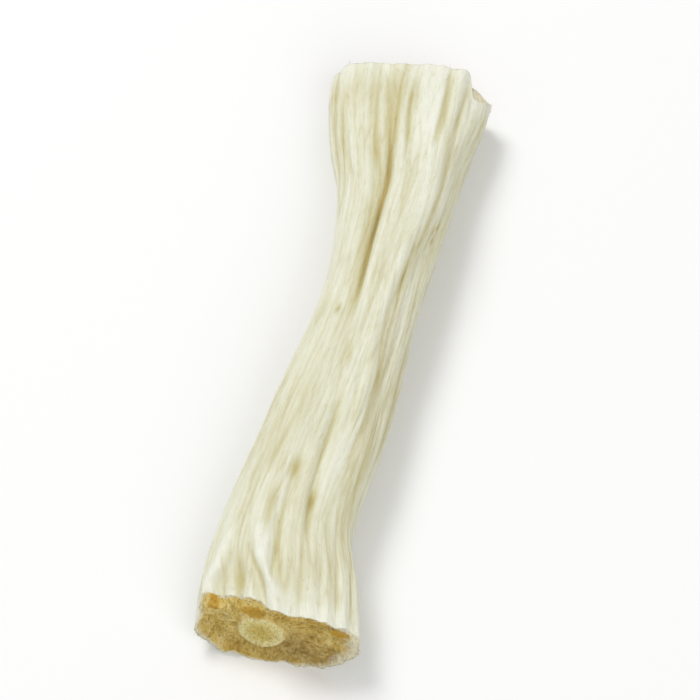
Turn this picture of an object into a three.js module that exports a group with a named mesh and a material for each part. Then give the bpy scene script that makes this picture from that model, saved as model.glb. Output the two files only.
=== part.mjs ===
// One dried shatavari root segment: a peeled, dried length of root, cut across at both ends, lying on a
// flat surface. It grew as one piece, so it is one closed solid.
// Millimetres, +Z up. The root runs along +Y, from the near cut, where its round core shows, to the far
// end, which fans out. Angles go round it in degrees: 0 is its right side (+X), 90 its top, 180 its left
// side and 270 its underside.

import * as THREE from 'three';

// Driving dimensions
const NEAR_CUT = -30.5;
const FAR_CUT = 30.5;
const CORE_HALF_WIDE = 2.1;
const CORE_HALF_HIGH = 1.6;
const NEAR_CORE = { x: -1.3, z: 2.65 };
const FAR_CORE = { x: 0.9, z: 3.0 };
const SECTION_POWER = 2.25; // 2 is a plain ellipse, and more is boxier

// The outline seen from above and from the side, at a few places along the root.
const OUTLINE = [
  { y: -30.5, left: -6.9, right: 7.2, top: 6.3, under: -0.45 },
  { y: -25.5, left: -7.3, right: 6.2, top: 6.5, under: -0.5 },
  { y: -19.5, left: -6.7, right: 4.5, top: 6.8, under: -0.1 },
  { y: -9, left: -5.3, right: 5.4, top: 7.1, under: 0.3 },
  { y: 5, left: -3.2, right: 5.9, top: 7.5, under: 0.6 },
  { y: 14.5, left: -3.6, right: 6.8, top: 7.4, under: 0.4 },
  { y: 21.8, left: -5.7, right: 7.3, top: 6.9, under: -0.1 },
  { y: 27, left: -6.8, right: 7.8, top: 6.4, under: -0.45 },
  { y: 30.5, left: -7.1, right: 7.9, top: 6.0, under: -0.4 },
];

// How far the cut rims stand off a straight cut, along Y, as [angle, shift]. The near cut leans back at its
// top, most at the upper left, and the far one slants and has a shorter strand at its right.
const NEAR_RIM = [
  [0, 0.4], [35, 0.9], [66, 0.7], [92, 0.6], [104, 2], [124, 2.4], [150, 2.7], [168, 1.8], [190, 0.4],
  [270, 0], [320, 0.1],
];
const FAR_RIM = [
  [0, -0.8], [20, -1.3], [40, -2], [50, 0.7], [70, 0.7], [98, 0.3], [122, 0.6], [140, 0.5], [155, -0.1],
  [180, -1.3], [225, -1.0], [270, 0], [320, -0.3],
];
const RIM_REACH = 9; // the power that keeps a rim's shift near its own end

// The creases and swells of the surface. Each follows [y, angle] points and fades out over `fade` at both
// ends; a swell has a negative depth. A broad one is round-bottomed, and the others are sharp creases.
const RELIEF = [
  // The long groove of the upper side, the slope that leads down to it from the left, and the crest that
  // stands at its right.
  {
    run: [[-3, 94], [2, 98], [8.4, 105], [13.9, 102], [17.3, 98], [22.4, 98], [28, 103]],
    width: 0.32, depth: 0.62, fade: 10,
  },
  {
    run: [[-4, 100], [2, 104], [8.4, 111], [17.3, 105], [22.4, 105], [38, 112]],
    width: 1.5, depth: 0.42, fade: 9, broad: true,
  },
  {
    run: [[-3, 87], [8.4, 96], [17.3, 89], [24, 89], [34, 94]],
    width: 0.7, depth: -0.16, fade: 7, broad: true,
  },
  // The right lobe's shoulder, the crease below it, and its steep right flank.
  {
    run: [[-14, 61], [-5, 60], [2, 69], [8, 63], [13, 55], [24, 58], [38, 58]],
    width: 1.1, depth: -0.3, fade: 6, broad: true,
  },
  {
    run: [[-17, 52], [-5.4, 51], [-1.6, 57], [1.8, 60], [5.3, 56], [8.9, 52], [11.8, 46], [24, 48]],
    width: 0.36, depth: 0.22, fade: 6,
  },
  { run: [[-14, 34], [7, 40], [16, 26], [27, 26]], width: 1.4, depth: 0.45, fade: 7, broad: true },
  { run: [[5, 41], [9.2, 39], [11.1, 37], [15, 36]], width: 0.35, depth: 0.22, fade: 3 },
  // The swell of the lower left, and the hollow that opens into the near cut between two crests.
  { run: [[-24, 115], [-15, 112], [-9, 104], [-2, 104]], width: 1.4, depth: -0.25, fade: 6, broad: true },
  { run: [[-36, 122], [-28.5, 121], [-24, 120]], width: 1.1, depth: 0.9, fade: 5, broad: true },
  { run: [[-36, 141], [-29.4, 137], [-26, 125]], width: 0.9, depth: 0.7, fade: 4, broad: true },
  { run: [[-36, 102], [-29, 106], [-26, 115]], width: 0.8, depth: 0.6, fade: 4, broad: true },
  { run: [[-36, 97], [-29, 101], [-26, 110], [-24, 118]], width: 0.4, depth: 0.45, fade: 3 },
  { run: [[-36, 148], [-29.4, 143], [-27, 132], [-24.5, 124]], width: 0.4, depth: 0.22, fade: 3 },
  { run: [[-36, 158], [-29.4, 152], [-27, 138], [-21, 126]], width: 0.6, depth: -0.3, fade: 4, broad: true },
  { run: [[-36, 86], [-29, 93], [-26, 103], [-20, 112]], width: 0.7, depth: -0.4, fade: 4, broad: true },
  // The lower middle: a crease, a dimple and their fine companions.
  { run: [[-25, 70], [-18.5, 71], [-13, 77], [-7, 79]], width: 0.35, depth: 0.55, fade: 6 },
  { run: [[-18.5, 93], [-15.7, 94], [-13, 95]], width: 0.5, depth: 0.35, fade: 2.5, broad: true },
  { run: [[-18, 113], [-9, 115]], width: 0.35, depth: 0.2, fade: 4 },
  { run: [[-30, 99], [-26, 96], [-22, 93], [-16, 91]], width: 0.4, depth: 0.32, fade: 4 },
  { run: [[-13, 64], [-2, 70]], width: 0.35, depth: 0.2, fade: 3 },
  { run: [[-36, 78], [-21, 74]], width: 0.35, depth: 0.25, fade: 4 },
  { run: [[-36, 62], [-22, 60]], width: 0.35, depth: 0.28, fade: 4 },
  { run: [[-36, 51], [-20, 45]], width: 0.35, depth: 0.3, fade: 4 },
  { run: [[-36, 36], [-22, 30]], width: 0.35, depth: 0.3, fade: 4 },
  // The fan of the far end.
  { run: [[18, 82], [25, 86], [38, 84]], width: 0.35, depth: 0.24, fade: 5 },
  { run: [[19, 62], [24, 62], [38, 66]], width: 0.35, depth: 0.24, fade: 5 },
  { run: [[17, 130], [26, 127], [38, 126]], width: 1.6, depth: 0.4, fade: 7, broad: true },
  { run: [[24, 91], [38, 92]], width: 0.35, depth: 0.25, fade: 5 },
  { run: [[22, 116], [38, 117]], width: 0.35, depth: 0.2, fade: 5 },
  { run: [[14, 158], [38, 152]], width: 0.45, depth: 0.35, fade: 5 },
  { run: [[20, 46], [24, 48], [38, 47]], width: 0.4, depth: 0.3, fade: 6 },
  // The sides.
  { run: [[-36, 176], [-12, 170], [12, 168]], width: 0.5, depth: 0.45, fade: 7 },
  { run: [[-8, 190], [14, 184], [38, 188]], width: 0.6, depth: 0.6, fade: 7 },
  { run: [[-36, 8], [-14, 2], [4, 8]], width: 0.5, depth: 0.45, fade: 7 },
  { run: [[-2, 350], [16, 352], [38, 344]], width: 0.6, depth: 0.6, fade: 7 },
  { run: [[-38, 326], [-28, 326], [-20, 330]], width: 1.6, depth: 0.6, fade: 6, broad: true },
  // The underside: a long hollow with a crease along it, and a groove on each side.
  { run: [[-34, 262], [-10, 272], [12, 262], [34, 256]], width: 1.7, depth: 0.7, fade: 10, broad: true },
  { run: [[-34, 258], [-8, 268], [14, 258], [34, 252]], width: 0.7, depth: 0.8, fade: 10 },
  { run: [[-34, 304], [-6, 312], [20, 300]], width: 0.6, depth: 0.7, fade: 8 },
  { run: [[-20, 226], [8, 222], [36, 232]], width: 0.6, depth: 0.7, fade: 8 },
  { run: [[-38, 240], [-16, 236]], width: 0.5, depth: 0.6, fade: 6 },
  { run: [[8, 318], [38, 320]], width: 0.5, depth: 0.6, fade: 6 },
];

// Finer wrinkles between them, spread evenly round and along, and varied, by irrational steps.
const WRINKLES = 34;
const WRINKLE_LENGTH = 13;
const WRINKLE_WIDTH = 0.34;
const WRINKLE_DEPTH = 0.18;
const WRINKLE_LEAN = 10;
const STEP_ROUND = 137.50776;
const STEP_ALONG = 0.5698403;
const STEP_LENGTH = 0.7548777;
const STEP_LEAN = 0.8191725;
const STEP_DEPTH = 0.4301597;

// Mesh fineness, and the small radius at the bottom of a crease
const AROUND = 84;
const ALONG = 44;
const CROWD_ROUND = 0.17;
const CROWD_ALONG = 0.5;
const CREASE_ROUND = 0.16;

const fraction = (x) => x - Math.floor(x);
const mix = (a, b, t) => a + (b - a) * t;
const easeIn = (t) => {
  const s = Math.min(1, Math.max(0, t));
  return s * s * (3 - 2 * s);
};

// A smooth value at x through points [x, value], level past the first and the last.
function through(points, x) {
  const last = points.length - 1;
  if (x <= points[0][0]) return points[0][1];
  if (x >= points[last][0]) return points[last][1];
  let i = 0;
  while (x > points[i + 1][0]) i += 1;
  const slope = (k) => {
    const a = points[Math.max(0, k - 1)];
    const b = points[Math.min(last, k + 1)];
    return (b[1] - a[1]) / (b[0] - a[0]);
  };
  const [x0, v0] = points[i];
  const [x1, v1] = points[i + 1];
  const h = x1 - x0;
  const t = (x - x0) / h;
  const bend = t * (1 - t) * h;
  return mix(v0, v1, t * t * (3 - 2 * t)) + bend * (slope(i) * (1 - t) - slope(i + 1) * t);
}

// A value that goes once round the root through points [angle, value], easing from each to the next.
function round(points, angle) {
  const a = ((angle % 360) + 360) % 360;
  let i = points.length - 1;
  while (i > 0 && points[i][0] > a) i -= 1;
  const [a0, v0] = points[i];
  const [a1, v1] = points[(i + 1) % points.length];
  const span = ((a1 - a0 + 360) % 360) || 360;
  return mix(v0, v1, easeIn((a - a0) / span));
}

const column = (name) => OUTLINE.map((station) => [station.y, station[name]]);
const EDGES = { left: column('left'), right: column('right'), top: column('top'), under: column('under') };

function wrinkles() {
  const made = [];
  for (let k = 0; k < WRINKLES; k += 1) {
    const middle = mix(NEAR_CUT, FAR_CUT, fraction(k * STEP_ALONG + 0.3));
    const half = WRINKLE_LENGTH * (0.5 + 0.7 * fraction(k * STEP_LENGTH));
    const angle = fraction((k * STEP_ROUND) / 360) * 360;
    const lean = WRINKLE_LEAN * (fraction(k * STEP_LEAN) - 0.5);
    made.push({
      run: [[middle - half, angle - lean], [middle + half, angle + lean]],
      width: WRINKLE_WIDTH,
      depth: WRINKLE_DEPTH * (0.5 + fraction(k * STEP_DEPTH)),
      fade: half * 0.7,
    });
  }
  return made;
}

const LINES = [...RELIEF, ...wrinkles()];

// How far the surface lies outside the plain section at y and angle; halfWide and halfHigh are its own.
function reliefAt(y, angle, halfWide, halfHigh) {
  const turn = THREE.MathUtils.degToRad(angle);
  const reach = Math.hypot(halfWide * Math.sin(turn), halfHigh * Math.cos(turn));
  let out = 0;
  for (const { run, width, depth, fade, broad } of LINES) {
    const start = run[0][0];
    const end = run[run.length - 1][0];
    if (y <= start || y >= end) continue;
    const strength = easeIn((y - start) / fade) * easeIn((end - y) / fade);
    const aside = ((((angle - through(run, y) + 180) % 360) + 360) % 360) - 180;
    const away = Math.abs(THREE.MathUtils.degToRad(aside)) * reach;
    const shape = broad
      ? Math.exp(-((away / width) ** 2))
      : Math.exp(-(Math.hypot(away, CREASE_ROUND) - CREASE_ROUND) / width);
    out -= depth * strength * shape;
  }
  return out;
}

// The point of the surface at a share of the length and an angle.
function surfacePoint(share, angle) {
  const plain = mix(NEAR_CUT, FAR_CUT, share);
  const nearShift = round(NEAR_RIM, angle) * (1 - share) ** RIM_REACH;
  const farShift = round(FAR_RIM, angle) * share ** RIM_REACH;
  const left = through(EDGES.left, plain);
  const right = through(EDGES.right, plain);
  const top = through(EDGES.top, plain);
  const under = through(EDGES.under, plain);
  const halfWide = (right - left) / 2;
  const halfHigh = (top - under) / 2;
  const turn = THREE.MathUtils.degToRad(angle);
  const c = Math.cos(turn);
  const s = Math.sin(turn);
  const size = (Math.abs(c) ** SECTION_POWER + Math.abs(s) ** SECTION_POWER) ** (-1 / SECTION_POWER);
  const out = reliefAt(plain, angle, halfWide, halfHigh);
  const facing = new THREE.Vector2(halfHigh * c, halfWide * s).normalize();
  const x = (left + right) / 2 + halfWide * size * c + facing.x * out;
  const z = (top + under) / 2 + halfHigh * size * s + facing.y * out;
  return new THREE.Vector3(x, plain + nearShift + farShift, Math.max(0, z)); // it rests on flat low spots
}

// Angles crowd a little towards the broad top and underside, and shares towards the two cuts.
const angleAt = (i) => {
  const even = (i / AROUND) * 2 * Math.PI;
  return THREE.MathUtils.radToDeg(even + CROWD_ROUND * Math.sin(2 * even));
};
const shareAt = (j) => {
  const even = j / ALONG;
  return even - (CROWD_ALONG * Math.sin(2 * Math.PI * even)) / (2 * Math.PI);
};

// The rings of a cut face, from the rim to the core: how far in each lies, first as a share of the way
// from the rim to the core's groove, then in core radii, and how far it sinks below the cut. The outermost
// follows the rim, and the others lie along one plane.
const FLESH_RINGS = [
  { share: 0.08, sunk: 0.06, rim: 0.8 },
  { share: 0.2, sunk: 0.2, rim: 0.2 },
  { share: 0.6, sunk: 0.28, rim: 0 },
];
const CORE_RINGS = [
  { radii: 1.14, sunk: 0.38 },
  { radii: 1, sunk: 0.3 },
  { radii: 0.88, sunk: 0.1 },
  { radii: 0.5, sunk: 0.04 },
];
const CORE_ROOM = 0.75; // the core's most, as a share of the way to the rim

class Skin {
  constructor() {
    this.points = [];
    this.faces = [];
  }

  add(point) {
    this.points.push(point);
    return this.points.length - 1;
  }

  // A band of triangles between two rings of point numbers.
  band(from, to) {
    for (let i = 0; i < from.length; i += 1) {
      const next = (i + 1) % from.length;
      this.faces.push(from[i], from[next], to[next], from[i], to[next], to[i]);
    }
  }

  geometry() {
    const flat = this.points.flatMap((p) => [p.x, p.y, p.z]);
    const made = new THREE.BufferGeometry();
    made.setAttribute('position', new THREE.Float32BufferAttribute(flat, 3));
    made.setIndex(this.faces);
    return made;
  }
}

// The plane through a cut's rim, as the y at a given x and z: the least-squares slopes across and up.
function planeOf(points) {
  const mean = points.reduce((sum, p) => sum.add(p), new THREE.Vector3()).divideScalar(points.length);
  let xx = 0;
  let zz = 0;
  let xy = 0;
  let zy = 0;
  for (const p of points) {
    xx += (p.x - mean.x) ** 2;
    zz += (p.z - mean.z) ** 2;
    xy += (p.x - mean.x) * (p.y - mean.y);
    zy += (p.z - mean.z) * (p.y - mean.y);
  }
  return (x, z) => mean.y + (xy / xx) * (x - mean.x) + (zy / zz) * (z - mean.z);
}

// Closes one end: dried flesh sunk inside its rim, a groove, and the core standing in it. `inward` is +1
// at the near cut and -1 at the far one.
function closeEnd(skin, rim, core, inward) {
  const rimPoints = rim.map((n) => skin.points[n]);
  const plane = planeOf(rimPoints);
  const ringAt = (wayOf, sunk, rimShare) =>
    rimPoints.map((p) => {
      const way = wayOf(p);
      const x = mix(core.x, p.x, way);
      const z = mix(core.z, p.z, way);
      return skin.add(new THREE.Vector3(x, mix(plane(x, z), p.y, rimShare) + inward * sunk, z));
    });
  // The core's edge, as a share of the way from its middle to a rim point: an ellipse.
  const coreEdge = (p) => {
    const radii = Math.hypot((p.x - core.x) / CORE_HALF_WIDE, (p.z - core.z) / CORE_HALF_HIGH);
    return Math.min(1 / radii, CORE_ROOM);
  };
  const rings = [];
  for (const { share, sunk, rim: rimShare } of FLESH_RINGS) {
    rings.push(ringAt((p) => mix(1, CORE_RINGS[0].radii * coreEdge(p), share), sunk, rimShare));
  }
  for (const { radii, sunk } of CORE_RINGS) rings.push(ringAt((p) => radii * coreEdge(p), sunk, 0));

  let outer = rim;
  for (const ring of rings) {
    if (inward > 0) skin.band(outer, ring);
    else skin.band(ring, outer);
    outer = ring;
  }
  const centre = skin.add(new THREE.Vector3(core.x, plane(core.x, core.z), core.z));
  outer.forEach((n, i) => {
    const next = outer[(i + 1) % outer.length];
    if (inward > 0) skin.faces.push(n, next, centre);
    else skin.faces.push(next, n, centre);
  });
}

function rootGeometry() {
  const skin = new Skin();
  const rings = [];
  for (let j = 0; j <= ALONG; j += 1) {
    const ring = [];
    for (let i = 0; i < AROUND; i += 1) {
      ring.push(skin.add(surfacePoint(shareAt(j), angleAt(i))));
    }
    rings.push(ring);
  }
  for (let j = 0; j < ALONG; j += 1) skin.band(rings[j + 1], rings[j]);
  closeEnd(skin, rings[0], NEAR_CORE, 1);
  closeEnd(skin, rings[ALONG], FAR_CORE, -1);
  return skin.geometry();
}

const dried = new THREE.MeshStandardMaterial({ color: 0xe6dcbc, roughness: 0.7, metalness: 0 });
const root = new THREE.Mesh(rootGeometry(), dried);
root.name = 'dried_root';

// The origin is under the middle of the root, on the surface that it lies on.
root.geometry.computeBoundingBox();
const middle = root.geometry.boundingBox.getCenter(new THREE.Vector3());
root.position.set(-middle.x, -middle.y, -root.geometry.boundingBox.min.z);

const part = new THREE.Group();
part.add(root);

export default part;
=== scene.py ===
import math

import bmesh
import bpy
import numpy as np
from mathutils import Matrix, Vector, noise


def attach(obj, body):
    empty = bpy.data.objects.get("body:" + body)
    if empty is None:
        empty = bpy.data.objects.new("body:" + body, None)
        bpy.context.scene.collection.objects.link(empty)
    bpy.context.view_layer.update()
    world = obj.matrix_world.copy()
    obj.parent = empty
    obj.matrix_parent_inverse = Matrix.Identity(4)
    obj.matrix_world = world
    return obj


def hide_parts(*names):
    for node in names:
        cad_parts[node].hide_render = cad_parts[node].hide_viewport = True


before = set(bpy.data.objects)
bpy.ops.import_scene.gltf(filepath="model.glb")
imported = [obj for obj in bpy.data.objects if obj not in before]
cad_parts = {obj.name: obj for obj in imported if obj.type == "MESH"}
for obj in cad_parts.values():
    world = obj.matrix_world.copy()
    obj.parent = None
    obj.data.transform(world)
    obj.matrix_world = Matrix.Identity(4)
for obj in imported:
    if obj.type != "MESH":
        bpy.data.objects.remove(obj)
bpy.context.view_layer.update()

# The root is one peeled and dried length of a shatavari root, sliced across at both ends. It grew as one
# piece: a furrowed, fibrous side, and at each cut some tan flesh round a pale core. Every size here is in
# millimetres. Angles go round it in degrees, 0 at its right side, 90 on top and 270 underneath.
MM = 0.001
NEAR_CUT = -30.5
FAR_CUT = 30.5
SECTION_POWER = 2.25  # 2 is a plain ellipse, and more is boxier
CORE_HALF_WIDE = 2.1
CORE_HALF_HIGH = 1.6
CORE_ROOM = 0.75  # the core's most, as a share of the way to the rim
NEAR_CORE = (-1.3, 2.65)
FAR_CORE = (0.9, 3.0)

OUTLINE_Y = (-30.5, -25.5, -19.5, -9, 5, 14.5, 21.8, 27, 30.5)
OUTLINE = {
    "left": (-6.9, -7.3, -6.7, -5.3, -3.2, -3.6, -5.7, -6.8, -7.1),
    "right": (7.2, 6.2, 4.5, 5.4, 5.9, 6.8, 7.3, 7.8, 7.9),
    "top": (6.3, 6.5, 6.8, 7.1, 7.5, 7.4, 6.9, 6.4, 6.0),
    "under": (-0.45, -0.5, -0.1, 0.3, 0.6, 0.4, -0.1, -0.45, -0.4),
}

# How far the cut rims stand off a straight cut, as (angle, shift along Y).
NEAR_RIM = (
    (0, 0.4), (35, 0.9), (66, 0.7), (92, 0.6), (104, 2), (124, 2.4), (150, 2.7), (168, 1.8), (190, 0.4),
    (270, 0), (320, 0.1),
)
FAR_RIM = (
    (0, -0.8), (20, -1.3), (40, -2), (50, 0.7), (70, 0.7), (98, 0.3), (122, 0.6), (140, 0.5), (155, -0.1),
    (180, -1.3), (225, -1.0), (270, 0), (320, -0.3),
)
RIM_REACH = 9

# How far the pale rim reaches into each cut face, as (bearing from the core, mm), and the orange-brown
# stains of the near one, as (x, z, half width, half height, strength).
NEAR_PALE_RIM = (
    (0, 1.6), (30, 1.1), (60, 0.3), (110, 0.2), (155, 0.25), (185, 0.5), (215, 0.25), (300, 0.22),
    (335, 0.8),
)
FAR_PALE_RIM = ((0, 0.9), (18, 2), (50, 2), (75, 0.5), (120, 0.4), (240, 0.5))
STAINS = ((-2.0, 4.5, 0.85, 0.42, 1.5), (5.2, 4.15, 0.7, 0.32, 1.4), (-5.4, 4.3, 0.5, 0.42, 0.7))

# Each crease or swell is (width, depth, fade, [(y, angle), ...]); a swell's depth is negative.
HOLLOWS_AND_SWELLS = (
    (1.5, 0.42, 9, ((-4, 100), (2, 104), (8.4, 111), (17.3, 105), (22.4, 105), (38, 112))),
    (0.7, -0.16, 7, ((-3, 87), (8.4, 96), (17.3, 89), (24, 89), (34, 94))),
    (1.1, -0.3, 6, ((-14, 61), (-5, 60), (2, 69), (8, 63), (13, 55), (24, 58), (38, 58))),
    (1.4, 0.45, 7, ((-14, 34), (7, 40), (16, 26), (27, 26))),
    (1.4, -0.25, 6, ((-24, 115), (-15, 112), (-9, 104), (-2, 104))),
    (1.1, 0.9, 5, ((-36, 122), (-28.5, 121), (-24, 120))),
    (0.9, 0.7, 4, ((-36, 141), (-29.4, 137), (-26, 125))),
    (0.8, 0.6, 4, ((-36, 102), (-29, 106), (-26, 115))),
    (0.6, -0.3, 4, ((-36, 158), (-29.4, 152), (-27, 138), (-21, 126))),
    (0.7, -0.4, 4, ((-36, 86), (-29, 93), (-26, 103), (-20, 112))),
    (0.5, 0.35, 2.5, ((-18.5, 93), (-15.7, 94), (-13, 95))),
    (1.6, 0.4, 7, ((17, 130), (26, 127), (38, 126))),
    (1.6, 0.6, 6, ((-38, 326), (-28, 326), (-20, 330))),
    (1.7, 0.7, 10, ((-34, 262), (-10, 272), (12, 262), (34, 256))),
)
CREASES = (
    (0.32, 0.62, 10, ((-3, 94), (2, 98), (8.4, 105), (13.9, 102), (17.3, 98), (22.4, 98), (28, 103))),
    (0.36, 0.22, 6, (
        (-17, 52), (-5.4, 51), (-1.6, 57), (1.8, 60), (5.3, 56), (8.9, 52), (11.8, 46), (24, 48),
    )),
    (0.35, 0.22, 3, ((5, 41), (9.2, 39), (11.1, 37), (15, 36))),
    (0.4, 0.45, 3, ((-36, 97), (-29, 101), (-26, 110), (-24, 118))),
    (0.4, 0.22, 3, ((-36, 148), (-29.4, 143), (-27, 132), (-24.5, 124))),
    (0.35, 0.55, 6, ((-25, 70), (-18.5, 71), (-13, 77), (-7, 79))),
    (0.35, 0.2, 4, ((-18, 113), (-9, 115))),
    (0.4, 0.32, 4, ((-30, 99), (-26, 96), (-22, 93), (-16, 91))),
    (0.35, 0.2, 3, ((-13, 64), (-2, 70))),
    (0.35, 0.25, 4, ((-36, 78), (-21, 74))),
    (0.35, 0.28, 4, ((-36, 62), (-22, 60))),
    (0.35, 0.3, 4, ((-36, 51), (-20, 45))),
    (0.35, 0.3, 4, ((-36, 36), (-22, 30))),
    (0.35, 0.24, 5, ((18, 82), (25, 86), (38, 84))),
    (0.35, 0.24, 5, ((19, 62), (24, 62), (38, 66))),
    (0.35, 0.25, 5, ((24, 91), (38, 92))),
    (0.35, 0.2, 5, ((22, 116), (38, 117))),
    (0.45, 0.35, 5, ((14, 158), (38, 152))),
    (0.4, 0.3, 6, ((20, 46), (24, 48), (38, 47))),
    (0.5, 0.45, 7, ((-36, 176), (-12, 170), (12, 168))),
    (0.6, 0.6, 7, ((-8, 190), (14, 184), (38, 188))),
    (0.5, 0.45, 7, ((-36, 8), (-14, 2), (4, 8))),
    (0.6, 0.6, 7, ((-2, 350), (16, 352), (38, 344))),
    (0.7, 0.8, 10, ((-34, 258), (-8, 268), (14, 258), (34, 252))),
    (0.6, 0.7, 8, ((-34, 304), (-6, 312), (20, 300))),
    (0.6, 0.7, 8, ((-20, 226), (8, 222), (36, 232))),
    (0.5, 0.6, 6, ((-38, 240), (-16, 236))),
    (0.5, 0.6, 6, ((8, 318), (38, 320))),
)
CREASE_ROUND = 0.08  # the small radius at the bottom of a crease
WRINKLES = 34
WRINKLE_LENGTH = 13
WRINKLE_WIDTH = 0.34
WRINKLE_DEPTH = 0.18
WRINKLE_LEAN = 10

# The dried skin between them: (feature width round, length along, height) of each size of its wrinkles.
RIDGES = (1.3, 15.0, 0.1)
FINE_RIDGES = (0.6, 8.0, 0.055)
FIBRES = (0.32, 3.6, 0.03)
LUMPS = (4.0, 8.0, 0.1)
CROSS_RIPPLES = (1.6, 0.9, 0.014)
MARK_DEPTH = 0.14  # how far the dark marks are sunk
RIDGE_GAIN = 2.4  # more makes the ridges broader
RIDGE_ROUNDING = 0.65  # less makes the valleys between them narrower
RIDGE_MIDDLE = 0.7  # the part of a ridge's height that lies below the plain section
FINE_RIDGE_MIDDLE = 0.6
SEED_STEP = 7.31  # how far apart the noises are taken

# The skin is rougher in some patches than in others: their size round and along, and how rough they are.
ROUGH_PATCHES = (5.0, 14.0)
LEAST_ROUGHNESS = 0.55
ROUGHNESS_SPAN = 0.9

# The fibres run as on a plain round stick, and turn with the long groove.
GRAIN_GIRTH = 5.7
GROOVE_ANGLE = 100
GROOVE_FOLLOW = 0.6

# The ragged edge of both rims: how far it wanders, how steeply that fades away from the edge, and the
# feature sizes of its two waves.
RAGGED_RIM = 0.22
RAGGED_FADE = 60
RAGGED_WAVES = ((0.9, 1.0), (0.3, 1.0))
SMALL_WAVE_SHARE = 0.5

# How much each form darkens its furrow, a tan that is partly painted shade in the creases, wrinkles, hollows
# and valleys between ridges, and how the upper skin pales towards the cuts, a painted highlight.
CREASE_TINT = 0.85
TINT_LOST_BELOW = 0.4
MOST_CREASE_MARK = 0.6
WRINKLE_TINT = 0.7
HOLLOW_TINT = 0.1
RIDGE_TINT = 0.2
FINE_RIDGE_TINT = 0.26
BROKEN_PATCHES = (3.0, 5.0)
CUT_HIGHLIGHT = 0.24
CUT_HIGHLIGHT_REACH = 1.8

# The cut faces: how far the flesh sinks inside its rim, how deep the groove round the core is, how far the
# core stands in it and is dished, and how high the flesh's grains and clods and how deep its clefts are.
# GROOVE_AT is in radii of the core, and so is CORE_MESH_EDGE, where the mesh of the flesh meets the core's.
# The browner patch of painted shade, below and right of the core, is placed from the core's middle.
FLESH_SINK = 0.26
GROOVE_DEPTH = 0.12
CORE_STAND = 0.2
CORE_DISH = 0.05
CORE_MESH_EDGE = 1.14
GROOVE_AT = 1.1
GRAIN_SIZE = 0.28
GRAIN_HEIGHT = 0.07
CLOD_SIZE = 1.1
CLOD_HEIGHT = 0.14
CLEFT_DEPTH = 0.1
CUTS_APART = 9.0  # keeps the two cuts' grains from being the same
SHADE_PLACE = (3.0, -1.1)
SHADE_REACH = (3.4, 1.5)
FAR_FROM_CORE = 9.0  # what the points of the side hold, in radii of the core

# Streaks of colour with no depth of their own, as (width, strength, fade, [(y, angle), ...]): tan ones,
# which mostly lie along the creases and hollows and are their tan with painted shade, and pale ones, which
# lie along the swells and lit crests as painted highlight; and small dark marks, as (y, angle, half length,
# half width, strength): a scar on the left lobe, nicks on the flank.
TAN_AND_SHADE_STREAKS = (
    (1.1, 0.26, 9, ((-3, 96), (2, 100), (8.4, 107), (17.3, 100), (22.4, 100), (38, 105))),
    (0.5, 0.3, 4, ((18, 93), (36, 96))),
    (0.4, 0.3, 4, ((16, 109), (36, 114))),
    (0.4, 0.34, 3, ((20, 62), (24, 62), (32, 64))),
    (0.35, 0.4, 2, ((20, 82), (25, 86), (28, 87))),
    (0.7, 0.34, 3, ((-24, 104), (-17, 105))),
    (0.6, 0.2, 5, ((-17, 50), (-5.4, 49), (1.8, 58), (8.9, 50), (24, 46))),
    (1.2, 0.45, 5, ((-36, 122), (-28.5, 121), (-24, 120))),
    (0.9, 0.36, 4, ((-36, 141), (-29.4, 137), (-26, 125))),
    (0.8, 0.36, 4, ((-36, 103), (-29, 107), (-26, 115))),
    (1.8, 0.26, 7, ((-28, 34), (-18, 38), (-5, 36))),
)
# Painted highlight: pale streaks laid along the swells and lit crests.
HIGHLIGHT_STREAKS = (
    (0.6, 0.3, 4, ((-36, 160), (-29.4, 154), (-27, 140), (-21, 126))),
    (0.9, 0.3, 4, ((-36, 86), (-29, 92), (-26, 102), (-20, 112))),
    (0.9, 0.14, 6, ((-3, 86), (8.4, 95), (17.3, 88), (24, 88))),
    (1.3, 0.07, 8, ((-12, 66), (2, 73), (8, 68), (24, 74))),
    (1.8, 0.2, 6, ((14, 70), (22, 73), (38, 72))),
)
DARK_MARKS = (
    (1.2, 114, 0.5, 0.17, 0.6), (-15.7, 94, 0.9, 0.35, 0.5), (-18.6, 71, 0.9, 0.2, 0.55),
    (11.3, 29, 0.5, 0.13, 0.6), (12.4, 33, 0.45, 0.12, 0.5), (13.2, 27, 0.5, 0.13, 0.55),
)

# How finely the skin and the cut faces are made, and the plain form that its place is taken from. The steps
# crowd towards the broad faces and towards the cuts.
AROUND = 328
ALONG = 232
FLESH_RINGS = 18
CORE_RINGS = 8
CUT_RINGS = FLESH_RINGS + CORE_RINGS
CAD_AROUND = 84
CAD_ALONG = 44
CROWD_ROUND = 0.17
CROWD_ALONG = 0.5


def fraction(x):
    return x - math.floor(x)


def mix(a, b, t):
    return a + (b - a) * t


def easing(t):
    s = np.clip(t, 0.0, 1.0)
    return s * s * (3 - 2 * s)


def through(points, x):
    """A smooth curve through (x, value) points, level past the first and the last."""
    xs, values = np.array(points, float).T
    before = np.maximum(np.arange(len(xs)) - 1, 0)
    after = np.minimum(np.arange(len(xs)) + 1, len(xs) - 1)
    slopes = (values[after] - values[before]) / (xs[after] - xs[before])
    x = np.clip(x, xs[0], xs[-1])
    i = np.clip(np.searchsorted(xs, x, side="right") - 1, 0, len(xs) - 2)
    h = xs[i + 1] - xs[i]
    t = (x - xs[i]) / h
    bend = t * (1 - t) * h * (slopes[i] * (1 - t) - slopes[i + 1] * t)
    return mix(values[i], values[i + 1], easing(t)) + bend


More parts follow.
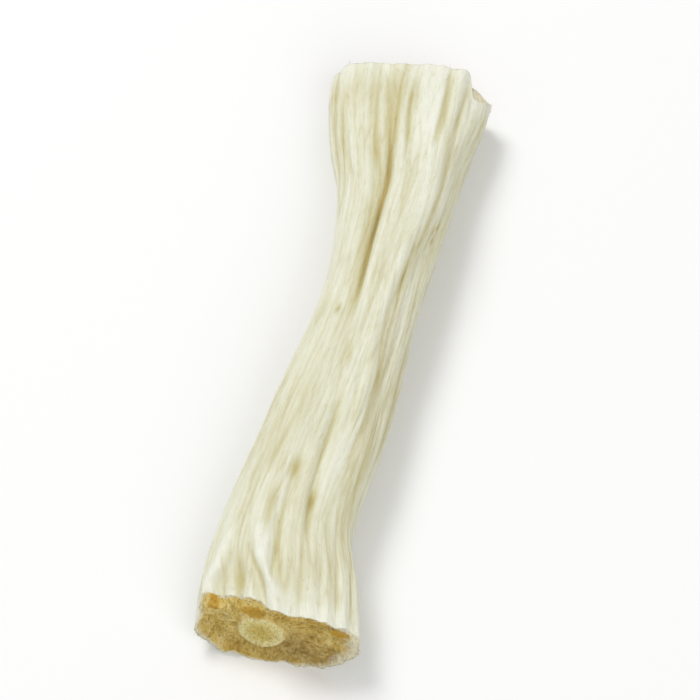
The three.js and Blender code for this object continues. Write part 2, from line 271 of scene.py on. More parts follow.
def round_the_rim(points, angle):
    """A value that goes once round the root, easing from each (angle, value) point to the next."""
    angles, values = np.array([*points, (points[0][0] + 360, points[0][1])], float).T
    angle = np.mod(angle, 360)
    i = np.clip(np.searchsorted(angles, angle, side="right") - 1, 0, len(points) - 1)
    return mix(values[i], values[i + 1], easing((angle - angles[i]) / (angles[i + 1] - angles[i])))


def side_at(name, y):
    return through(tuple(zip(OUTLINE_Y, OUTLINE[name])), y)


def wrinkle_lines():
    """The wrinkles between the named creases, spread round and along by irrational steps."""
    lines = []
    for k in range(WRINKLES):
        middle = mix(NEAR_CUT, FAR_CUT, fraction(k * 0.5698403 + 0.3))
        half = WRINKLE_LENGTH * (0.5 + 0.7 * fraction(k * 0.7548777))
        angle = fraction(k * 137.50776 / 360) * 360
        lean = WRINKLE_LEAN * (fraction(k * 0.8191725) - 0.5)
        depth = WRINKLE_DEPTH * (0.5 + fraction(k * 0.4301597))
        run = ((middle - half, angle - lean), (middle + half, angle + lean))
        lines.append((WRINKLE_WIDTH, depth, half * 0.7, run))
    return lines


def line_depth(lines, y, angle, half_wide, half_high, broad):
    """How deep the creases, or the broad hollows, cut in at y and angle, and how strongly they mark."""
    turn = np.radians(angle)
    reach = np.hypot(half_wide * np.sin(turn), half_high * np.cos(turn))
    deep = np.zeros_like(y)
    mark = np.zeros_like(y)
    for width, depth, fade, run in lines:
        start, end = run[0][0], run[-1][0]
        strength = easing((y - start) / fade) * easing((end - y) / fade)
        aside = np.mod(angle - through(run, y) + 180, 360) - 180
        away = np.abs(np.radians(aside)) * reach
        if broad:
            shape = np.exp(-((away / width) ** 2))
        else:
            shape = np.exp(-(np.hypot(away, CREASE_ROUND) - CREASE_ROUND) / width)
        deep += depth * strength * shape
        mark = np.maximum(mark, max(depth, 0) * strength * np.exp(-((away / (0.6 * width)) ** 2)))
    return deep, mark


def dark_marks(y, angle, reach):
    """How strongly the small dark marks show at y and angle."""
    shown = np.zeros_like(y)
    for mark_y, mark_angle, half_long, half_wide, strength in DARK_MARKS:
        aside = np.radians(np.mod(angle - mark_angle + 180, 360) - 180) * reach
        shown += strength * np.exp(-(((y - mark_y) / half_long) ** 2) - (aside / half_wide) ** 2)
    return shown


def grain_twist(y):
    """How far the fibres have turned round the root at y, in degrees: they follow the long groove."""
    return GROOVE_FOLLOW * (through(CREASES[0][3], y) - GROOVE_ANGLE)


def grain_place(y, angle):
    """Where a point lies among the fibres, as a place on a plain round stick of the root's own girth."""
    turn = np.radians(angle - grain_twist(y))
    return np.stack([GRAIN_GIRTH * np.cos(turn), y, GRAIN_GIRTH * np.sin(turn)], axis=-1)


def noise_at(spots):
    return np.array([noise.noise(spot) for spot in spots.tolist()])


def grain_noise(place, size, seed):
    """Noise in the fibres' own direction, with features of size[0] round and size[1] along, in mm."""
    return noise_at(place / np.array([size[0], size[1], size[0]]) + seed * SEED_STEP)


def folded(value):
    """Turns noise into rounded ridges with narrow valleys, from 0 in a valley to 1 on a ridge."""
    return np.clip(np.abs(value) * RIDGE_GAIN, 0, 1) ** RIDGE_ROUNDING


def skin_relief(y, angle, half_wide, half_high):
    """How far the dried skin lies outside the plain section, and how dark its furrows are, 0 to 1, as tan
    with painted shade, less painted highlights.
    """
    broad, hollow = line_depth(HOLLOWS_AND_SWELLS, y, angle, half_wide, half_high, True)
    creases, crease_mark = line_depth(CREASES, y, angle, half_wide, half_high, False)
    wrinkles, wrinkle_mark = line_depth(wrinkle_lines(), y, angle, half_wide, half_high, False)
    place = grain_place(y, angle)
    rough_patches = np.clip(grain_noise(place, ROUGH_PATCHES, 1) + 0.4, 0, 1)
    roughness = LEAST_ROUGHNESS + ROUGHNESS_SPAN * rough_patches
    ridges = folded(grain_noise(place, RIDGES, 2))
    fine_ridges = folded(grain_noise(place, FINE_RIDGES, 3))
    fibres = grain_noise(place, FIBRES, 4)
    lumps = grain_noise(place, LUMPS, 5)
    ripples = grain_noise(place, CROSS_RIPPLES, 6)
    crests = RIDGES[2] * (ridges - RIDGE_MIDDLE) + FINE_RIDGES[2] * (fine_ridges - FINE_RIDGE_MIDDLE)
    out = roughness * crests
    out += FIBRES[2] * fibres + LUMPS[2] * lumps + CROSS_RIPPLES[2] * ripples
    marks = dark_marks(y, angle, (half_wide + half_high) / 2)
    out -= broad + creases + wrinkles + MARK_DEPTH * marks
    # Tan streaks along creases and hollows carry painted shade with their tan.
    _, streaks = line_depth(TAN_AND_SHADE_STREAKS, y, angle, half_wide, half_high, True)
    # Painted highlight: pale streaks along the swells lighten the skin.
    _, painted_highlights = line_depth(HIGHLIGHT_STREAKS, y, angle, half_wide, half_high, True)
    broken = np.clip(0.85 + 0.9 * grain_noise(place, BROKEN_PATCHES, 7), 0.35, 1.1)
    # Painted shade with the tan: creases, wrinkles, hollows and the valleys between ridges are darkened,
    # creases less so underneath.
    below = np.clip(-np.sin(np.radians(angle)) * 1.6, 0, 1)
    crease_tint = (CREASE_TINT - TINT_LOST_BELOW * below) * broken
    furrow = crease_tint * np.minimum(crease_mark, MOST_CREASE_MARK) + WRINKLE_TINT * wrinkle_mark
    furrow += HOLLOW_TINT * hollow + streaks + marks - painted_highlights
    valley_shade = RIDGE_TINT * roughness * (1 - ridges) ** 3
    furrow += valley_shade + FINE_RIDGE_TINT * roughness * (1 - fine_ridges) ** 4
    # Painted highlight: near both cuts the skin is paled, most on its upper side and not at all underneath.
    from_cut = np.minimum(y - NEAR_CUT, FAR_CUT - y)
    cut_highlight = CUT_HIGHLIGHT * np.exp(-((from_cut / CUT_HIGHLIGHT_REACH) ** 2))
    furrow -= cut_highlight * np.clip(np.sin(np.radians(angle)) + 0.6, 0, 1)
    return out, np.clip(furrow, -0.2, 1)


def skin_point(share, angle, relief_of):
    """Points of the root's side at shares of its length and angles, with their furrow darkness."""
    y = mix(NEAR_CUT, FAR_CUT, share)
    left, right = side_at("left", y), side_at("right", y)
    top, under = side_at("top", y), side_at("under", y)
    half_wide, half_high = (right - left) / 2, (top - under) / 2
    c, s = np.cos(np.radians(angle)), np.sin(np.radians(angle))
    size = (np.abs(c) ** SECTION_POWER + np.abs(s) ** SECTION_POWER) ** (-1 / SECTION_POWER)
    out, furrow = relief_of(y, angle, half_wide, half_high)
    facing = np.stack([half_high * c, half_wide * s])
    facing = facing / np.hypot(*facing)
    x = (left + right) / 2 + half_wide * size * c + facing[0] * out
    z = (top + under) / 2 + half_high * size * s + facing[1] * out
    shift = round_the_rim(NEAR_RIM, angle) * (1 - share) ** RIM_REACH
    shift += round_the_rim(FAR_RIM, angle) * share ** RIM_REACH
    return np.stack([x, y + shift, np.maximum(z, 0)], axis=-1), furrow


def crowded(round_share, length_share):
    """Evenly stepped shares of a turn and of the length, crowded to the broad faces and to the cuts."""
    turn = round_share * 2 * np.pi
    angle = np.degrees(turn + CROWD_ROUND * np.sin(2 * turn))
    return angle, length_share - CROWD_ALONG * np.sin(2 * np.pi * length_share) / (2 * np.pi)


def cad_centre():
    """The middle of the root's plain form before it is centred on its origin, across and along."""
    def cad_relief(y, angle, half_wide, half_high):
        deep = line_depth(HOLLOWS_AND_SWELLS, y, angle, half_wide, half_high, True)[0]
        deep += line_depth(CREASES, y, angle, half_wide, half_high, False)[0]
        return -deep - line_depth(wrinkle_lines(), y, angle, half_wide, half_high, False)[0], deep

    i, j = np.meshgrid(np.arange(CAD_AROUND) / CAD_AROUND, np.arange(CAD_ALONG + 1) / CAD_ALONG)
    angle, share = crowded(i.ravel(), j.ravel())
    points, _ = skin_point(share, angle, cad_relief)
    return (points.max(axis=0) + points.min(axis=0)) / 2 * (1, 1, 0)


def plane_through(points):
    """The least-squares plane of a cut's rim, as a function that gives its y at (x, z)."""
    middle = points.mean(axis=0)
    off = points - middle
    across = (off[:, 0] * off[:, 1]).sum() / (off[:, 0] ** 2).sum()
    up = (off[:, 2] * off[:, 1]).sum() / (off[:, 2] ** 2).sum()
    return lambda x, z: middle[1] + across * (x - middle[0]) + up * (z - middle[2])


def cut_points(rim, core, inward, reach, pale_rim, stains):
    """Points of a cut face, from the rim (reach 1) to the core's middle (reach 0), and what colours them."""
    plane = plane_through(rim)
    core_share = CORE_RINGS / CUT_RINGS
    off_x, off_z = rim[:, 0] - core[0], rim[:, 2] - core[1]
    core_edge = np.minimum(1 / np.hypot(off_x / CORE_HALF_WIDE, off_z / CORE_HALF_HIGH), CORE_ROOM)
    mesh_edge = CORE_MESH_EDGE * core_edge
    flesh_way = (reach - core_share) / (1 - core_share)
    outside = mix(mesh_edge, 1, np.abs(flesh_way) ** 1.15)
    way = np.where(reach > core_share, outside, mesh_edge * reach / core_share)
    x, z = core[0] + off_x * way, core[1] + off_z * way
    from_rim = np.hypot(off_x, off_z) * (1 - way)
    radii = way / core_edge
    bearing = np.arctan2(off_z, off_x)

    spot = np.stack([x, np.full_like(x, inward * CUTS_APART), z], axis=-1)
    grains = noise_at(spot / GRAIN_SIZE)
    clods = noise_at(spot / CLOD_SIZE + 3.3)
    ray = np.stack([7 * np.cos(bearing), 0.35 * (radii + from_rim), 7 * np.sin(bearing)], axis=-1)
    rays = noise_at(ray + 11.7)
    clefts = np.clip(1 - np.abs(rays) * 9, 0, 1)
    clefts = clefts * easing((radii - GROOVE_AT) / 0.5) * easing(from_rim / 1.2)

    sunk = FLESH_SINK * easing((from_rim - 0.1) / 0.75)
    sunk += GROOVE_DEPTH * np.exp(-(((radii - GROOVE_AT) / 0.1) ** 2))
    sunk -= CORE_STAND * easing((1.04 - radii) / 0.16)
    sunk += CORE_DISH * easing((0.35 - radii) / 0.3)
    inside = easing(from_rim / 0.4)
    sunk += inside * (GRAIN_HEIGHT * grains + CLOD_HEIGHT * clods + CLEFT_DEPTH * clefts)
    follow = 1 - easing(from_rim / 0.8)
    y = mix(plane(x, z), rim[:, 1], follow) + inward * sunk

    rim_share = from_rim / round_the_rim(pale_rim, np.degrees(bearing))
    stained = np.zeros_like(x)
    for stain_x, stain_z, half_wide, half_high, strength in stains:
        across, up = (x - stain_x) / half_wide, (z - stain_z) / half_high
        stained += strength * np.exp(-(across ** 2) - up ** 2)
    # Painted shade: the flesh is made browner and darker below and right of the core.
    across = (x - core[0] - SHADE_PLACE[0]) / SHADE_REACH[0]
    up = (z - core[1] - SHADE_PLACE[1]) / SHADE_REACH[1]
    shaded_brown = np.exp(-(across ** 2) - up ** 2)
    return np.stack([x, y, z], axis=-1), rim_share, radii, clefts, stained, shaded_brown


def face_outward(mesh):
    """Turns every face of a closed mesh outwards."""
    shell = bmesh.new()
    shell.from_mesh(mesh)
    bmesh.ops.recalc_face_normals(shell, faces=shell.faces)
    shell.to_mesh(mesh)
    shell.free()


def lengthwise_edges(shape):
    return [e for e in shape.edges if abs(e.verts[0].co.z - e.verts[1].co.z) > 0.5]


def points_of(mesh):
    flat = np.zeros(len(mesh.vertices) * 3)
    mesh.vertices.foreach_get("co", flat)
    return flat.reshape(-1, 3)


def keep_grain(mesh, place):
    """Writes each point's place among the fibres into the mesh, where the finishes read it."""
    mesh.attributes.new("grain", "FLOAT_VECTOR", "POINT").data.foreach_set("vector", place.ravel())


def root_blank():
    """A plain closed stick of one unit's radius and length, with the faces and rings that the root needs."""
    blank = bmesh.new()
    bmesh.ops.create_cone(
        blank, cap_ends=True, cap_tris=False, segments=AROUND, radius1=1, radius2=1, depth=1,
    )
    bmesh.ops.subdivide_edges(blank, edges=lengthwise_edges(blank), cuts=ALONG - 1, use_grid_fill=True)
    for end in [f for f in blank.faces if len(f.verts) > 4]:
        for _ in range(CUT_RINGS - 1):
            bmesh.ops.inset_region(blank, faces=[end], thickness=1 / CUT_RINGS, use_even_offset=True)
        bmesh.ops.poke(blank, faces=[end])
    return blank


def grown_root():
    """The root's own mesh: the blank's points moved to the root's side and to its two cut faces."""
    blank = root_blank()
    for face in blank.faces:
        face.smooth = True
        face.material_index = int(abs(face.normal.z) > 0.5)
    mesh = bpy.data.meshes.new("dried_root_skin")
    blank.to_mesh(mesh)
    blank.free()

    at = points_of(mesh)
    radius = np.minimum(np.hypot(at[:, 0], at[:, 1]), 1)
    round_share = np.mod(np.arctan2(at[:, 1], at[:, 0]) / (2 * np.pi), 1)
    angle, share = crowded(round_share, at[:, 2] + 0.5)
    points, furrow = skin_point(share, angle, skin_relief)

    edge = grain_place(points[:, 1] * 0, angle)
    ragged = grain_noise(edge, RAGGED_WAVES[0], 8)
    ragged += SMALL_WAVE_SHARE * grain_noise(edge, RAGGED_WAVES[1], 9)
    points[:, 1] += RAGGED_RIM * ragged * ((1 - share) ** RAGGED_FADE - share ** RAGGED_FADE)

    marks = {name: np.zeros(len(points)) for name in ("rim_share", "clefts", "stained", "shaded_brown")}
    marks["core_radii"] = np.full(len(points), FAR_FROM_CORE)
    near_end = (NEAR_CORE, 1, 0.0, NEAR_PALE_RIM, STAINS)
    far_end = (FAR_CORE, -1, 1.0, FAR_PALE_RIM, ())
    for core, inward, end, pale_rim, stains in (near_end, far_end):
        face = (radius < 1 - 0.5 / CUT_RINGS) & (np.abs(share - end) < 0.01)
        reach = np.round(radius[face] * CUT_RINGS) / CUT_RINGS
        made = cut_points(points[face], core, inward, reach, pale_rim, stains)
        points[face] = made[0]
        for name, values in zip(("rim_share", "core_radii", "clefts", "stained", "shaded_brown"), made[1:]):
            marks[name][face] = values
        furrow[face] = 0

    points = (points - cad_centre()) * MM
    mesh.vertices.foreach_set("co", points.ravel())
    keep_grain(mesh, grain_place(mix(NEAR_CUT, FAR_CUT, share), angle))
    marks["furrow"] = furrow
    for name, values in marks.items():
        mesh.attributes.new(name, "FLOAT", "POINT").data.foreach_set("value", values)
    face_outward(mesh)
    return mesh


def colour(red, green, blue):
    """A screen colour of 0 to 255 as the linear colour that a shader takes."""
    shares = (v / 255 for v in (red, green, blue))
    linear = (v / 12.92 if v <= 0.04045 else ((v + 0.055) / 1.055) ** 2.4 for v in shares)
    return (*linear, 1)


def shader_node(tree, kind, **values):
    made = tree.nodes.new(kind)
    for name, value in values.items():
        setattr(made, name, value)
    return made


def read_attribute(tree, name):
    return shader_node(tree, "ShaderNodeAttribute", attribute_name=name)


def stretched_noise(tree, vector, scale, detail, roughness):
    """Noise on a vector that is stretched by `scale`; a small value along the fibres makes long streaks."""
    stretch = shader_node(tree, "ShaderNodeVectorMath", operation="MULTIPLY")
    stretch.inputs[1].default_value = scale
    tree.links.new(vector, stretch.inputs[0])
    made = shader_node(tree, "ShaderNodeTexNoise")
    made.inputs["Scale"].default_value = 1
    made.inputs["Detail"].default_value = detail
    made.inputs["Roughness"].default_value = roughness
    tree.links.new(stretch.outputs[0], made.inputs["Vector"])
    return made.outputs["Fac"]


def calculate(tree, operation, first, second, clamp=False):
    made = shader_node(tree, "ShaderNodeMath", operation=operation, use_clamp=clamp)
    for socket, value in zip(made.inputs, (first, second)):
        if isinstance(value, (int, float)):
            socket.default_value = value
        else:
            tree.links.new(value, socket)
    return made.outputs[0]


def scaled(tree, value, factor):
    return calculate(tree, "MULTIPLY", value, factor)


def above(tree, value, level, steepness):
    """0 where the value is under the level, and up to 1 as it rises past it."""
    return calculate(tree, "MULTIPLY", calculate(tree, "SUBTRACT", value, level), steepness, clamp=True)


def ramp(tree, value, stops):
    """A colour ramp with (place, colour) stops."""
    made = shader_node(tree, "ShaderNodeValToRGB")
    while len(made.color_ramp.elements) < len(stops):
        made.color_ramp.elements.new(0.5)
    for element, (place, shade) in zip(made.color_ramp.elements, stops):
        element.position = place
        element.color = shade
    tree.links.new(value, made.inputs["Fac"])
    return made.outputs["Color"]


def blended(tree, share, first, second, kind="MIX"):
    made = shader_node(tree, "ShaderNodeMix", data_type="RGBA", blend_type=kind)
    for socket, value in ((made.inputs[0], share), (made.inputs[6], first), (made.inputs[7], second)):
        if isinstance(value, (int, float, tuple)):
            socket.default_value = value
        else:
            tree.links.new(value, socket)
    return made.outputs[2]


def dry_grain_group():
    """The grain that the peeled side and the frayed fibres share: pale and tan streaks, and their relief."""
    group = bpy.data.node_groups.new("dry_grain", "ShaderNodeTree")
    face = group.interface
    face.new_socket("Place", in_out="INPUT", socket_type="NodeSocketVector")
    for name in ("Streaks", "Mottle", "Flecks", "Relief"):
        face.new_socket(name, in_out="OUTPUT", socket_type="NodeSocketFloat")
    inputs = shader_node(group, "NodeGroupInput")
    outputs = shader_node(group, "NodeGroupOutput")
    place = inputs.outputs["Place"]
    wide = stretched_noise(group, place, (0.6, 0.05, 0.6), 3, 0.5)
    narrow = stretched_noise(group, place, (2.6, 0.17, 2.6), 3, 0.6)
    hair = stretched_noise(group, place, (8.0, 0.55, 8.0), 3, 0.65)
    patches = stretched_noise(group, place, (0.35, 0.12, 0.35), 2, 0.5)
    chalk = stretched_noise(group, place, (3.0, 0.8, 3.0), 4, 0.7)
    specks = stretched_noise(group, place, (3.6, 1.0, 3.6), 2, 0.6)

    def weighted(first, first_share, second, second_share):
        first = scaled(group, first, first_share)
        return calculate(group, "ADD", first, scaled(group, second, second_share))

    flecks = above(group, specks, 0.64, 9)
    made = {
        "Streaks": weighted(wide, 0.5, narrow, 0.5),
        "Mottle": weighted(patches, 0.45, chalk, 0.55),
        "Flecks": flecks,
        "Relief": weighted(weighted(narrow, 0.5, hair, 0.5), 0.6, chalk, 0.4),
    }
    for name, value in made.items():
        group.links.new(value, outputs.inputs[name])
    return group


def new_finish(name, roughness, see_into):
    """A material with its Principled shader's plain values set; see_into is how much light it lets in."""
    finish = bpy.data.materials.new(name)
    finish.use_nodes = True
    shader = finish.node_tree.nodes["Principled BSDF"]
    shader.inputs["Roughness"].default_value = roughness
    shader.inputs["Specular IOR Level"].default_value = 0.35
    shader.inputs["Subsurface Weight"].default_value = see_into
    shader.inputs["Subsurface Radius"].default_value = (1.0, 0.85, 0.6)
    shader.inputs["Subsurface Scale"].default_value = 0.6 * MM
    return finish, finish.node_tree, shader


def raise_surface(tree, shader, height, distance, strength):
    bump = shader_node(tree, "ShaderNodeBump")
    bump.inputs["Strength"].default_value = strength
    bump.inputs["Distance"].default_value = distance
    tree.links.new(height, bump.inputs["Height"])
    tree.links.new(bump.outputs["Normal"], shader.inputs["Normal"])


dry_grain = dry_grain_group()

# The root's colours. The tables go from a crest to a furrow, whose darker end is partly painted shade, from
# dark to light in the flesh, and from the middle to the edge in the core.
WHITE = (1, 1, 1, 1)
BLACK = (0, 0, 0, 1)
SKIN_SHADES = (
    (0.0, colour(246, 246, 236)), (0.2, colour(236, 235, 216)), (0.42, colour(222, 217, 186)),
    (0.68, colour(211, 200, 154)), (1.0, colour(198, 179, 118)),
)
CHALK_SHADES = (
    (0.3, colour(255, 255, 252)), (0.5, colour(246, 246, 238)), (0.7, colour(236, 234, 218)),
)
GOLDEN_FLESH = (
    (0.3, colour(182, 148, 66)), (0.5, colour(208, 180, 96)), (0.7, colour(228, 206, 138)),
)
# The flesh's shades where painted shade falls: darker and browner.
SHADED_FLESH = (
    (0.3, colour(138, 106, 44)), (0.5, colour(168, 138, 70)), (0.7, colour(202, 178, 112)),
)
CORE_SHADES = (
    (0.2, colour(206, 183, 98)), (0.6, colour(221, 204, 128)), (0.85, colour(238, 227, 168)),
)
CLEFT_COLOUR = colour(128, 100, 48)
PORE_COLOUR = colour(132, 101, 46)
CORE_PORE_COLOUR = colour(170, 142, 66)
HUSK_COLOUR = colour(232, 216, 162)
PALE_RIM_COLOUR = colour(230, 222, 190)
STAIN_COLOUR = colour(188, 142, 18)
MOST_STAINED = (0.8, 0.8, 0.8, 1)


def peeled_skin_finish():
    """The peeled side: pale ivory crests, straw between them and tan in the furrows, darkened with painted
    shade, under a chalky mottle.
    """
    finish, tree, shader = new_finish("peeled_skin", 0.68, 0.08)
    grain = shader_node(tree, "ShaderNodeGroup", node_tree=dry_grain)
    tree.links.new(read_attribute(tree, "grain").outputs["Vector"], grain.inputs["Place"])
    furrow = read_attribute(tree, "furrow").outputs["Fac"]
    swing = scaled(tree, calculate(tree, "SUBTRACT", grain.outputs["Streaks"], 0.5), 1.1)
    flecks = scaled(tree, grain.outputs["Flecks"], 0.16)
    depth = calculate(tree, "ADD", calculate(tree, "ADD", furrow, flecks), swing)
    depth = calculate(tree, "ADD", depth, 0.16, clamp=True)
    base = ramp(tree, depth, SKIN_SHADES)
    mottle = ramp(tree, grain.outputs["Mottle"], CHALK_SHADES)
    base = blended(tree, 1.0, base, mottle, "MULTIPLY")
    tree.links.new(base, shader.inputs["Base Color"])
    raise_surface(tree, shader, grain.outputs["Relief"], 0.2 * MM, 0.8)
    return finish


def cut_flesh_finish():
    """The cut faces: golden flesh darkened and browned below the core as painted shade, a pale rim, a yellow
    core and a few stains.
    """
    finish, tree, shader = new_finish("cut_flesh", 0.72, 0.05)
    place = shader_node(tree, "ShaderNodeTexCoord").outputs["Object"]
    cells = stretched_noise(tree, place, (2600, 900, 2600), 3, 0.6)
    clouds = stretched_noise(tree, place, (620, 300, 620), 4, 0.6)
    grit = stretched_noise(tree, place, (5200, 2600, 5200), 2, 0.6)
    pores = above(tree, grit, 0.57, 9)
    husks = calculate(tree, "MULTIPLY", calculate(tree, "SUBTRACT", 0.4, grit), 8, clamp=True)
    rim_share = read_attribute(tree, "rim_share").outputs["Fac"]
    radii = read_attribute(tree, "core_radii").outputs["Fac"]
    fine = calculate(tree, "SUBTRACT", cells, 0.5)
    mottle = calculate(tree, "ADD", scaled(tree, fine, 0.6), clouds)
    golden = ramp(tree, mottle, GOLDEN_FLESH)
    # Painted shade: the golden flesh turns to darker, browner shades below and right of the core.
    shaded_flesh = ramp(tree, mottle, SHADED_FLESH)
    flesh = blended(tree, read_attribute(tree, "shaded_brown").outputs["Fac"], golden, shaded_flesh)
    dark = scaled(tree, read_attribute(tree, "clefts").outputs["Fac"], 0.35)
    flesh = blended(tree, dark, flesh, CLEFT_COLOUR)
    flesh = blended(tree, scaled(tree, pores, 0.3), flesh, PORE_COLOUR)
    flesh = blended(tree, scaled(tree, husks, 0.4), flesh, HUSK_COLOUR)
    worn = calculate(tree, "ADD", rim_share, scaled(tree, fine, 1.1))
    pale = ramp(tree, worn, ((0.3, WHITE), (1.1 / 1.2, BLACK)))
    face = blended(tree, pale, flesh, PALE_RIM_COLOUR)
    core_edge = calculate(tree, "ADD", radii, scaled(tree, fine, 0.25))
    heart = ramp(tree, core_edge, ((0.84, WHITE), (1.0, BLACK)))
    core = ramp(tree, calculate(tree, "ADD", radii, scaled(tree, fine, 1.3)), CORE_SHADES)
    core = blended(tree, scaled(tree, pores, 0.2), core, CORE_PORE_COLOUR)
    face = blended(tree, heart, face, core)
    stained = read_attribute(tree, "stained").outputs["Fac"]
    stained = calculate(tree, "ADD", stained, scaled(tree, fine, 1.2))
    stained = calculate(tree, "ADD", stained, scaled(tree, clouds, 0.9))
    stain = ramp(tree, stained, ((0.75, BLACK), (1.0, MOST_STAINED)))
    face = blended(tree, stain, face, STAIN_COLOUR)
    tree.links.new(face, shader.inputs["Base Color"])
    pitted = calculate(tree, "SUBTRACT", cells, scaled(tree, pores, 0.25))
    pitted = calculate(tree, "ADD", pitted, scaled(tree, clouds, 0.8))
    raise_surface(tree, shader, pitted, 0.24 * MM, 1)
    return finish


root = bpy.data.objects.new("dried_root_skin", grown_root())
bpy.context.scene.collection.objects.link(root)
root.data.materials.append(peeled_skin_finish())
root.data.materials.append(cut_flesh_finish())
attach(root, "root")
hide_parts("dried_root")


# The fibres that the cuts left frayed: short pale wisps of the root's own skin, which lift and curl along
# both rims. They grew with the root, so their feet are sunk in it and they have no edge of their own.
FIBRE_COUNT = 150
FIBRE_LENGTHS = (0.4, 1.2)
FIBRE_RADII = (0.03, 0.055)
FIBRE_FEET = (0.35, 1.8)  # how far from the cut they stand
FIBRE_ANGLES = (-40, 220)
FIBRE_LIFT = 0.2
FIBRE_CURL = 0.25
FIBRE_SINK = 0.07
FIBRE_STEPS = 4
FIBRE_TIP = 0.3  # its tip's thickness, as a share of its foot's
FIBRE_SEED = 11
STEP_AHEAD = 0.3  # the step along the skin that gives a fibre's direction, in mm
STEP_ASIDE = 3  # the step round it, in degrees
FIBRE_SHADES = (
    (0.3, colour(244, 243, 232)), (0.55, colour(232, 229, 208)), (0.75, colour(212, 203, 165)),
)
APART = 10  # how far apart the straight fibres are made, before each goes to its place


def unit(vectors):
    return vectors / np.linalg.norm(vectors, axis=-1, keepdims=True)


def straight_fibres():
    """Tapered three-sided fibres of one unit's length, in a row."""
    wisps = bmesh.new()
    for k in range(FIBRE_COUNT):
        bmesh.ops.create_cone(
            wisps, cap_ends=True, cap_tris=True, segments=3, radius1=1, radius2=FIBRE_TIP, depth=1,
            matrix=Matrix.Translation((APART * k, 0, 0)),
        )
    lengthwise = lengthwise_edges(wisps)
    bmesh.ops.subdivide_edges(wisps, edges=lengthwise, cuts=FIBRE_STEPS - 1, use_grid_fill=True)
    mesh = bpy.data.meshes.new("frayed_fibres")
    for face in wisps.faces:
        face.smooth = True
    wisps.to_mesh(mesh)
    wisps.free()
    return mesh


def frayed_fibres():
    """The fibres' mesh: each is laid along the skin towards its cut, then lifted and curled."""
    mesh = straight_fibres()
    at = points_of(mesh)
    fibre = np.round(at[:, 0] / APART).astype(int)
    along = (at[:, 2] + 0.5)[:, None]
    across, thick = (at[:, 0] - APART * fibre)[:, None], at[:, 1][:, None]

    draw = np.random.default_rng(FIBRE_SEED)
    angle = draw.uniform(*FIBRE_ANGLES, FIBRE_COUNT)
    foot = draw.uniform(*FIBRE_FEET, FIBRE_COUNT)
    length = draw.uniform(*FIBRE_LENGTHS, FIBRE_COUNT)
    radius = draw.uniform(*FIBRE_RADII, FIBRE_COUNT)
    lift = FIBRE_LIFT * draw.uniform(0.1, 1, FIBRE_COUNT) ** 2
    curl = FIBRE_CURL * draw.uniform(-1, 1, FIBRE_COUNT)
    at_far_end = np.arange(FIBRE_COUNT) % 2

    def skin_at(from_cut, turned):
        share = np.abs(at_far_end - from_cut / (FAR_CUT - NEAR_CUT))
        return skin_point(share, angle + turned, skin_relief)[0]

    feet = skin_at(foot, 0)
    ahead = unit(skin_at(foot - STEP_AHEAD, 0) - feet)
    aside = unit(skin_at(foot, STEP_ASIDE) - skin_at(foot, -STEP_ASIDE))
    outward = unit(np.cross(ahead, aside))
    outward *= np.where(at_far_end == 1, 1, -1)[:, None]

    bend = lift[fibre][:, None] * along ** 2 - FIBRE_SINK * (1 - along)
    points = feet[fibre] + ahead[fibre] * length[fibre][:, None] * along
    points += outward[fibre] * (bend + radius[fibre][:, None] * thick)
    points += aside[fibre] * (curl[fibre][:, None] * along ** 2 + radius[fibre][:, None] * across)
    mesh.vertices.foreach_set("co", ((points - cad_centre()) * MM).ravel())
    keep_grain(mesh, grain_place(points[:, 1], angle[fibre]) + APART * fibre[:, None])
    face_outward(mesh)
    return mesh


def fibre_finish():
    """The fibres: the peeled side's grain, in shades of its own and duller."""
    finish, tree, shader = new_finish("frayed_fibre", 0.75, 0.1)
    grain = shader_node(tree, "ShaderNodeGroup", node_tree=dry_grain)
    tree.links.new(read_attribute(tree, "grain").outputs["Vector"], grain.inputs["Place"])
    shade = ramp(tree, grain.outputs["Streaks"], FIBRE_SHADES)
    tree.links.new(shade, shader.inputs["Base Color"])
    raise_surface(tree, shader, grain.outputs["Relief"], 0.05 * MM, 0.5)
    return finish


fibres = bpy.data.objects.new("frayed_fibres", frayed_fibres())
bpy.context.scene.collection.objects.link(fibres)
fibres.data.materials.append(fibre_finish())
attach(fibres, "root")
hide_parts("dried_root")


# The table is plain and pale, and isn't part of the object. Seen from below it is clear, and light that
# sets out from the root's underside passes it, so that the underside shows.
UNDER_REACH = 8 * MM
TABLE_COLOUR = (0.96, 0.96, 0.955, 1)
TABLE_HALF = 2.0


def table_finish():
    finish = bpy.data.materials.new("pale_table")
    finish.use_nodes = True
    tree = finish.node_tree
    shader = tree.nodes["Principled BSDF"]
    shader.inputs["Base Color"].default_value = TABLE_COLOUR
    shader.inputs["Roughness"].default_value = 0.8
    shader.inputs["Specular IOR Level"].default_value = 0.2
    clear = shader_node(tree, "ShaderNodeBsdfTransparent")
    either = shader_node(tree, "ShaderNodeMixShader")
    below = shader_node(tree, "ShaderNodeNewGeometry").outputs["Backfacing"]
    ray = shader_node(tree, "ShaderNodeLightPath")
    close_by = calculate(tree, "LESS_THAN", ray.outputs["Ray Length"], UNDER_REACH)
    scattered = calculate(tree, "MAXIMUM", ray.outputs["Is Diffuse Ray"], ray.outputs["Is Shadow Ray"])
    passing = calculate(tree, "MAXIMUM", below, calculate(tree, "MULTIPLY", close_by, scattered))
    tree.links.new(passing, either.inputs[0])
    tree.links.new(shader.outputs[0], either.inputs[1])
    tree.links.new(clear.outputs[0], either.inputs[2])
    tree.links.new(either.outputs[0], tree.nodes["Material Output"].inputs["Surface"])
    return finish


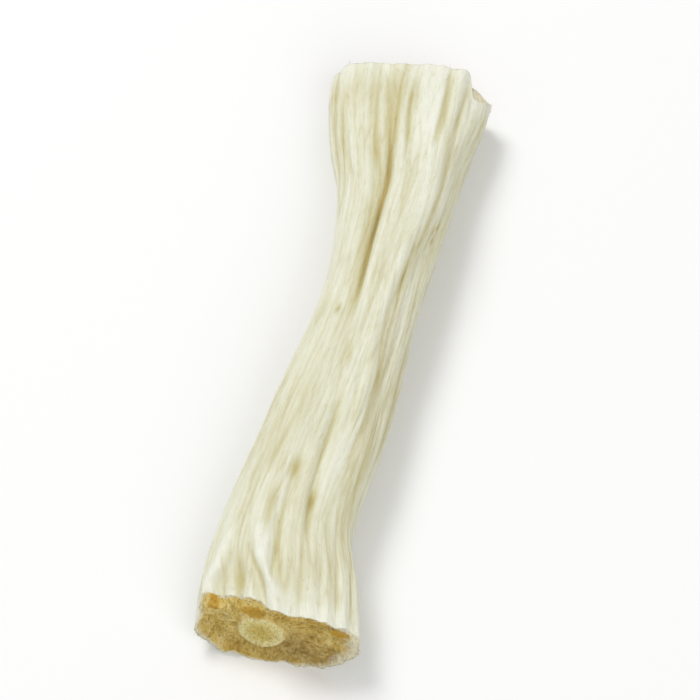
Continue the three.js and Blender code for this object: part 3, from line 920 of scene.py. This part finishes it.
sheet = bmesh.new()
bmesh.ops.create_grid(sheet, x_segments=1, y_segments=1, size=TABLE_HALF)
table_mesh = bpy.data.meshes.new("table")
sheet.to_mesh(table_mesh)
sheet.free()
table = bpy.data.objects.new("table", table_mesh)
bpy.context.scene.collection.objects.link(table)
table.data.materials.append(table_finish())


# The light is a soft studio's: a lamp high behind the root on its left, a larger and weaker one in front on
# its right, and white surroundings.
ROOT_MIDDLE = (0, 0, 0.004)
SURROUNDINGS_STRENGTH = 0.52


def soft_lamp(name, place, target, size, power):
    lamp = bpy.data.lights.new(name, "AREA")
    lamp.shape = "SQUARE"
    lamp.size = size
    lamp.energy = power
    holder = bpy.data.objects.new(name, lamp)
    holder.location = place
    holder.rotation_euler = (Vector(target) - Vector(place)).to_track_quat("-Z", "Y").to_euler()
    bpy.context.scene.collection.objects.link(holder)


soft_lamp("key_lamp", place=(-0.3, 0.25, 0.55), target=ROOT_MIDDLE, size=0.3, power=2.15)
soft_lamp("front_lamp", place=(0.3, -0.45, 0.4), target=ROOT_MIDDLE, size=0.5, power=1.25)
surroundings = bpy.data.worlds.new("white_studio")
surroundings.use_nodes = True
background = surroundings.node_tree.nodes["Background"]
background.inputs["Color"].default_value = WHITE
background.inputs["Strength"].default_value = SURROUNDINGS_STRENGTH
bpy.context.scene.world = surroundings
bpy.context.scene.view_settings.view_transform = "Standard"


# The camera looks down on the root from its near end and a little from the right, with a long lens, so
# that the root stands upright in the picture and leans to the right.
VIEW_AZIMUTH = 10.7
VIEW_ELEVATION = 52
LENS = 200
SENSOR = 36
ROOT_IN_FRAME = 0.86  # the root's height in the picture, as a share of it
NEAREST_SEEN = 0.01  # what is closer to the lens than this, in metres, is left out


def photograph_camera():
    a, e = math.radians(VIEW_AZIMUTH), math.radians(VIEW_ELEVATION)
    back = Vector((math.sin(a) * math.cos(e), -math.cos(a) * math.cos(e), math.sin(e)))
    aim = (-back).to_track_quat("-Z", "Y")
    across, upward = aim @ Vector((1, 0, 0)), aim @ Vector((0, 1, 0))
    points = [v.co for v in root.data.vertices]
    sideways = [p.dot(across) for p in points]
    heights = [p.dot(upward) for p in points]
    tall = max(heights) - min(heights)
    target = across * (max(sideways) + min(sideways)) / 2 + upward * (max(heights) + min(heights)) / 2
    lens = bpy.data.cameras.new("photograph_camera")
    lens.lens = LENS
    lens.sensor_width = SENSOR
    lens.clip_start = NEAREST_SEEN
    camera = bpy.data.objects.new("photograph_camera", lens)
    camera.location = target + back * (tall / ROOT_IN_FRAME * LENS / SENSOR)
    camera.rotation_euler = aim.to_euler()
    bpy.context.scene.collection.objects.link(camera)
    bpy.context.scene.camera = camera


photograph_camera()
